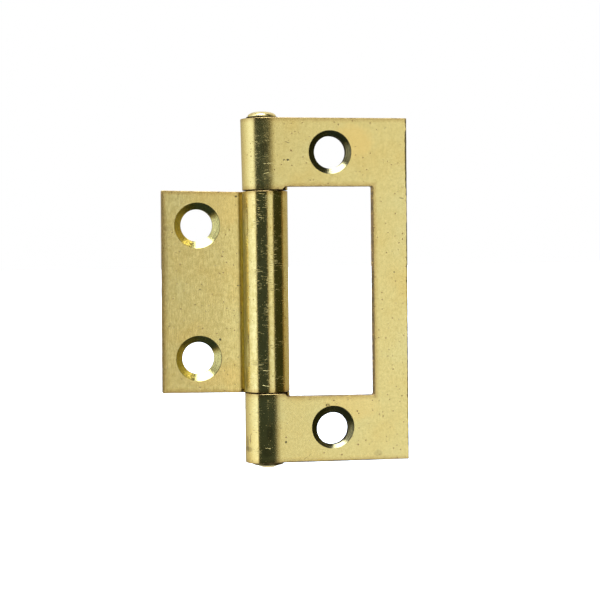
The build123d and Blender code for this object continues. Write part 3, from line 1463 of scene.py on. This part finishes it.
@dataclass
class Studio:
    """Camera, white background, pale floor and the soft light round the hinge."""

    axis: Vector
    foot: float
    azimuth: float = -11.275
    elevation: float = 2.544
    roll: float = -0.651
    distance: float = 192.94
    right_shift: float = 4.964
    up_shift: float = -1.26
    lens: float = 79.12
    room: Colour = (0.048, 0.066, 0.064, 1.0)
    room_right: Colour = (0.043, 0.049, 0.022, 1.0)
    boxes: tuple[Band, ...] = (
        Band(
            left=-150.0, right=-47.2, soft_left=30.0, soft_right=8.0, low=-28.0, high=62.0,
            soft_height=26.0, level=0.60, gain=0.64, gain_from=-140.0, gain_to=-56.0,
        ),
        Band(
            left=14.0, right=41.0, soft_left=11.5, soft_right=7.0, low=-40.0, high=40.0,
            soft_height=12.0, level=0.87, gain=0.13, gain_from=20.0, gain_to=30.0, fade=0.10,
        ),
    )
    backdrop: float = 0.5
    overhead: float = 1.1
    underfoot: float = 0.9
    backdrop_left: float = -146.0
    backdrop_right: float = 96.0
    backdrop_soft: float = 5.0
    key_turn: float = -9.0
    key_height: float = 61.0
    key_spread: float = 24.0
    key_soft: float = 4.0
    key_level: float = 7.0
    floor_size: float = 6.0
    floor_drop: float = 30.0
    floor_colour: Colour = (0.90, 0.90, 0.89, 1.0)
    floor_glow: float = 0.62

    def shoot(self) -> None:
        """Set the camera where the photograph was taken from."""
        turn = Matrix.Rotation(math.radians(-self.azimuth), 3, "Z")
        tilt = Matrix.Rotation(math.radians(self.elevation), 3, "X")
        lean = Matrix.Rotation(math.radians(self.roll), 3, "Y")
        view = (lean @ tilt @ turn).transposed()
        sight = view @ Vector((self.right_shift, -self.distance, self.up_shift))
        data = bpy.data.cameras.new("camera")
        data.lens = self.lens
        data.sensor_width = 36.0
        data.clip_start = 0.01
        data.clip_end = 50.0
        camera = bpy.data.objects.new("camera", data)
        bpy.context.scene.collection.objects.link(camera)
        facing = Matrix((view.col[0], view.col[2], -view.col[1])).transposed()
        camera.matrix_world = Matrix.Translation((self.axis + sight) * MM) @ facing.to_4x4()
        bpy.context.scene.camera = camera

    def light(self) -> None:
        """Make the world: soft boxes in a dim room, and a white background behind the hinge."""
        world = bpy.data.worlds.new("studio")
        world.use_nodes = True
        bpy.context.scene.world = world
        board = Board(world.node_tree)
        degrees = math.degrees(1.0)

        # Directions, seen from the hinge towards the camera
        x, y, z = board.split(board.add("ShaderNodeTexCoord", output="Generated"))
        heading = math.radians(self.azimuth)
        aside = x * math.cos(heading) + y * math.sin(heading)
        toward = x * math.sin(heading) - y * math.cos(heading)
        turn = aside.maths("ARCTAN2", aside, toward) * degrees
        height = z.maths("ARCSINE", z) * degrees

        # Backdrop, soft boxes and the key light
        soft = self.backdrop_soft
        behind = turn.rise(self.backdrop_right - soft, self.backdrop_right + soft)
        behind = behind.most(turn.rise(self.backdrop_left + soft, self.backdrop_left - soft))
        lift = height.rise(-45.0, 0.0) * self.backdrop
        lift = lift + height.rise(5.0, 50.0) * (self.overhead - self.backdrop)
        lift = lift.most(height.rise(-10.0, -25.0) * height.rise(-80.0, -60.0) * self.underfoot)
        total = behind * lift
        for box in self.boxes:
            total = total.most(box.light(turn, height))
        key_turn = math.radians(self.key_turn)
        key_height = math.radians(self.key_height)
        near = aside * (math.sin(key_turn) * math.cos(key_height))
        near = near + toward * (math.cos(key_turn) * math.cos(key_height)) + z * math.sin(key_height)
        off_key = near.maths("ARCCOSINE", near) * degrees
        key = off_key.rise(self.key_spread + self.key_soft, self.key_spread - self.key_soft)
        total = total.most(key * self.key_level)

        # Tint: dim light is warm, full light is a little blue
        pale = total.most(0.02).least(1.25)
        glow = board.vector(total, total * 1.08 * pale**0.22, total * 1.21 * pale**0.75)
        room = board.mix(turn.rise(36.0, 50.0), self.room, self.room_right)
        lit = board.mix(1.0, glow, room, "ADD")
        path = board.add("ShaderNodeLightPath", output="Is Camera Ray")
        mirrored = path.beside("Is Glossy Ray") + path.beside("Is Transmission Ray")
        white = path.most(mirrored * behind * height.rise(30.0, 70.0))
        colour = board.mix(white, lit, WHITE)
        background = board.add("ShaderNodeBackground", None, {"Color": colour, "Strength": 1.0})
        board.add("ShaderNodeOutputWorld", None, {"Surface": background})

    def floor(self) -> None:
        """Lay the pale floor, which shows the hinge's shadow."""
        Bench.clear()
        level = (self.foot - self.floor_drop) * MM
        bpy.ops.mesh.primitive_plane_add(size=self.floor_size, location=(0, 0, level))
        floor = bpy.context.object
        floor.name = "floor"
        material = bpy.data.materials.new("floor")
        material.use_nodes = True
        board = Board(material.node_tree)
        paper = board.add("ShaderNodeBsdfDiffuse", None, {"Color": self.floor_colour})
        shine = board.add("ShaderNodeLightPath", output="Is Camera Ray") * self.floor_glow
        glow = board.add("ShaderNodeEmission", None, {"Color": board.vector(shine, shine, shine)})
        both = board.add("ShaderNodeAddShader", None, {0: paper, 1: glow})
        board.add("ShaderNodeOutputMaterial", None, {"Surface": both})
        floor.data.materials.append(material)
        floor.visible_glossy = False


# Old marks of each leaf, at their places in the frame
OUTER_MARKS = (
    Mark(-6.97, 18.95, 0.14, 0.12, stain=0.9, dent=0.03),
    Mark(-6.42, 18.95, 0.24, 0.15, -20.0, stain=0.9, dent=0.03),
    Mark(-6.5, 21.5, 0.45, 0.06, -22.0, stain=0.4, dent=0.012),
    Mark(8.05, 23.6, 0.30, 0.05, 40.0, stain=0.5),
    Mark(10.4, 13.4, 0.45, 0.14, -15.0, stain=0.45, ragged=1.2),
    Mark(9.23, 2.6, 0.14, 0.10, -30.0, stain=0.7, dent=0.02),
    Mark(11.22, 19.5, 0.26, 6.5, stain=0.9, dent=0.03, ragged=2.0),
    Mark(11.25, 4.0, 0.16, 11.0, stain=0.8, dent=0.03, ragged=2.4),
    Mark(11.25, -16.0, 0.16, 9.0, stain=0.7, dent=0.03, ragged=2.6),
    Mark(11.2, 1.3, 0.20, 0.22, stain=0.9, dent=0.04),
    Mark(-4.3, -24.2, 0.40, 0.05, 35.0, stain=0.5),
    Mark(-3.7, -23.8, 0.35, 0.05, 55.0, stain=0.45),
    Mark(-0.96, -16.6, 0.30, 0.22, stain=0.5, dent=0.05, ragged=1.0),
    Mark(6.57, -23.95, 0.75, 0.6, stain=0.22, ragged=0.8),
    Mark(-7.2, -21.76, 0.16, 0.2, stain=0.8, dent=0.02),
    Mark(-9.8, -22.55, 0.42, 0.07, -14.0, dent=0.05),
    Mark(-12.26, -22.9, 0.5, 0.45, stain=0.35, ragged=1.0),
    Mark(-12.40, -22.2, 0.12, 1.5, stain=0.45, ragged=1.4),
    Mark(-12.10, -21.4, 0.08, 0.9, stain=0.40, ragged=1.4),
    Mark(1.6, -24.84, 10.2, 0.17, -0.74, stain=0.80, ragged=1.6),
    Mark(-5.6, -24.72, 3.0, 0.16, -0.74, stain=0.85, ragged=1.6),
    Mark(11.22, -10.0, 0.17, 15.0, stain=0.8, ragged=2.0),
    Mark(-9.3, 18.5, 0.8, 0.035, 2.0, dent=0.006, scuff=0.8),
    Mark(-9.6, 17.1, 0.5, 0.04, 8.0, dent=0.006, scuff=0.7),
    Mark(-9.8, 20.7, 0.7, 1.2, stain=0.35, ragged=0.8),
    Mark(-9.5, -20.4, 0.6, 1.4, stain=0.40, ragged=0.8),
    Mark(-9.9, -23.2, 0.9, 0.9, stain=0.30, ragged=0.8),
    Mark(3.2, 21.6, 3.6, 3.0, blush=0.65, ragged=0.6),
    Mark(2.6, -17.0, 5.0, 2.4, blush=0.45, ragged=0.6),
)
INNER_MARKS = (
    Mark(-23.26, 9.4, 0.8, 0.7, stain=0.16, ragged=0.8),
    Mark(-13.1, 0.85, 0.20, 0.12, stain=0.7, dent=0.02),
    Mark(-23.3, -4.9, 0.22, 0.12, 30.0, stain=0.5),
    Mark(-17.2, 13.0, 0.05, 0.7, stain=0.35),
    Mark(-9.95, -13.5, 0.75, 0.05, -12.0, dent=0.01, scuff=1.0),
    Mark(-9.85, -11.3, 0.65, 0.04, -2.0, dent=0.01, scuff=1.0),
    Mark(-9.6, -12.7, 0.40, 0.05, 4.0, scuff=0.9),
    Mark(-10.15, 6.6, 0.45, 2.7, scuff=0.9, ragged=0.8),
    Mark(-10.05, -4.2, 0.38, 1.1, scuff=0.9, ragged=0.8),
    Mark(-9.95, -9.6, 0.34, 2.4, scuff=0.9, ragged=0.8),
    Mark(-15.5, 12.6, 6.0, 3.4, blush=0.4, ragged=0.6),
    Mark(-17.0, -12.5, 5.0, 2.0, blush=0.4, ragged=0.6),
    Mark(-23.65, 5.0, 0.40, 11.0, stain=0.22, ragged=1.4),
    Mark(-23.75, -9.0, 0.30, 6.0, stain=0.12, ragged=1.4),
)


@dataclass
class Hinge:
    """The whole hinge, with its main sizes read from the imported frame."""

    frame: Mapping[str, Any]
    plating: Plating = Plating()
    inner_length: float = 29.2
    inner_reach: float = 15.0
    inner_hole_reach: float = 9.75
    outer_hole_shift: float = 0.12
    window_clearance: float = 0.35
    pin_clearance: float = 0.05

    def __post_init__(self) -> None:
        """Read the axis and the boxes of the solids, in millimetres, and size the pieces."""
        self.axis = Vector(self.frame["joints"][0]["pos_m"]) / MM
        low, high = (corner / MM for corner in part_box("outer_leaf"))
        pin_low, pin_high = (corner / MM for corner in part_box("hinge_pin"))
        roll = Roll(
            sheet=round(-low.y, 2),
            knuckle_r=round(self.axis.x - low.x, 2),
            flat_offset=self.axis.y - low.y,
        )
        self.outer = OuterLeaf(
            roll,
            length=2 * high.z,
            reach=high.x - self.axis.x,
            hole_reach=-self.axis.x - self.outer_hole_shift,
            window_reach=self.inner_reach + self.window_clearance,
        )
        self.inner = InnerLeaf(roll, self.inner_length, self.inner_reach, self.inner_hole_reach)
        shank_r = roll.knuckle_r - roll.sheet - self.pin_clearance
        self.pin = Pin(high.z, shank_r, pin_high.z, pin_low.z)

    def sheets(self) -> tuple[SheetFinish, SheetFinish]:
        """Finishes of the two leaves' sheets.

        Returns:
            The outer leaf's, even and frosted on its rolls, and the inner leaf's, more worn.
        """
        outer = SheetFinish(
            "outer_sheet",
            self.outer,
            self.axis,
            self.plating,
            OUTER_MARKS,
            frost=0.12,
            streaks=0.05,
            mottle=0.28,
            mottle_scale=2.6,
            tone=0.34,
        )
        inner = SheetFinish(
            "inner_sheet",
            self.inner,
            self.axis,
            self.plating,
            INNER_MARKS,
            roll_scratches=1.0,
            mottle=0.48,
            tone=0.10,
            limb_wear_and_reflection=0.65,
            recess=1.0,
            marked_to=2.3,
            edge_blush=0.6,
            grain_relief=0.007,
        )
        return outer, inner

    def dress(self, sheet: SheetFinish) -> dict[Dress, bpy.types.Material]:
        """Make a leaf's four materials.

        Args:
            sheet: Finish of its sheet.

        Returns:
            A material for each slot.
        """
        leaf = sheet.leaf
        hole_x = self.axis.x + leaf.way * leaf.hole_reach
        sink_name = f"{leaf.name}_countersink"
        sink = SinkFinish(sink_name, self.plating, hole_x, leaf.hole_spacing / 2, leaf.cone_colour)
        return {
            Dress.SHEET: sheet.make(),
            Dress.SINK: sink.make(),
            Dress.SHEARED: ShearedFinish(f"{leaf.name}_edge", self.plating).make(),
            # Ends of the rolls and walls of the outer leaf's holes: the sheared finish darkened with
            # painted shade
            Dress.END: ShearedFinish(f"{leaf.name}_end", self.plating, rough=0.75, painted_shade=0.9).make(),
        }

    def build(self) -> list[bpy.types.Object]:
        """Model and dress the three pieces.

        Returns:
            The pieces, in order.
        """
        pieces = [sheet.leaf.build(self.axis, self.dress(sheet)) for sheet in self.sheets()]
        plated = PinFinish("pin", self.plating, self.pin.end, self.pin.collar)
        return pieces + [self.pin.build(self.axis, plated.make())]


def main() -> None:
    """Load the frame, build and dress the hinge, and set the studio round it."""
    logging.basicConfig(level=logging.INFO, format="%(name)s: %(message)s")
    for leftover in list(bpy.data.objects):
        bpy.data.objects.remove(leftover)
    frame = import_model()
    hinge = Hinge(frame)
    for piece in hinge.build():
        LOG.info("%s: %d faces", piece.name, len(piece.data.polygons))
    studio = Studio(axis=hinge.axis, foot=hinge.pin.bottom)
    studio.shoot()
    studio.light()
    studio.floor()
    bpy.context.scene.view_settings.view_transform = "Standard"


if __name__ == "__main__":
    main()
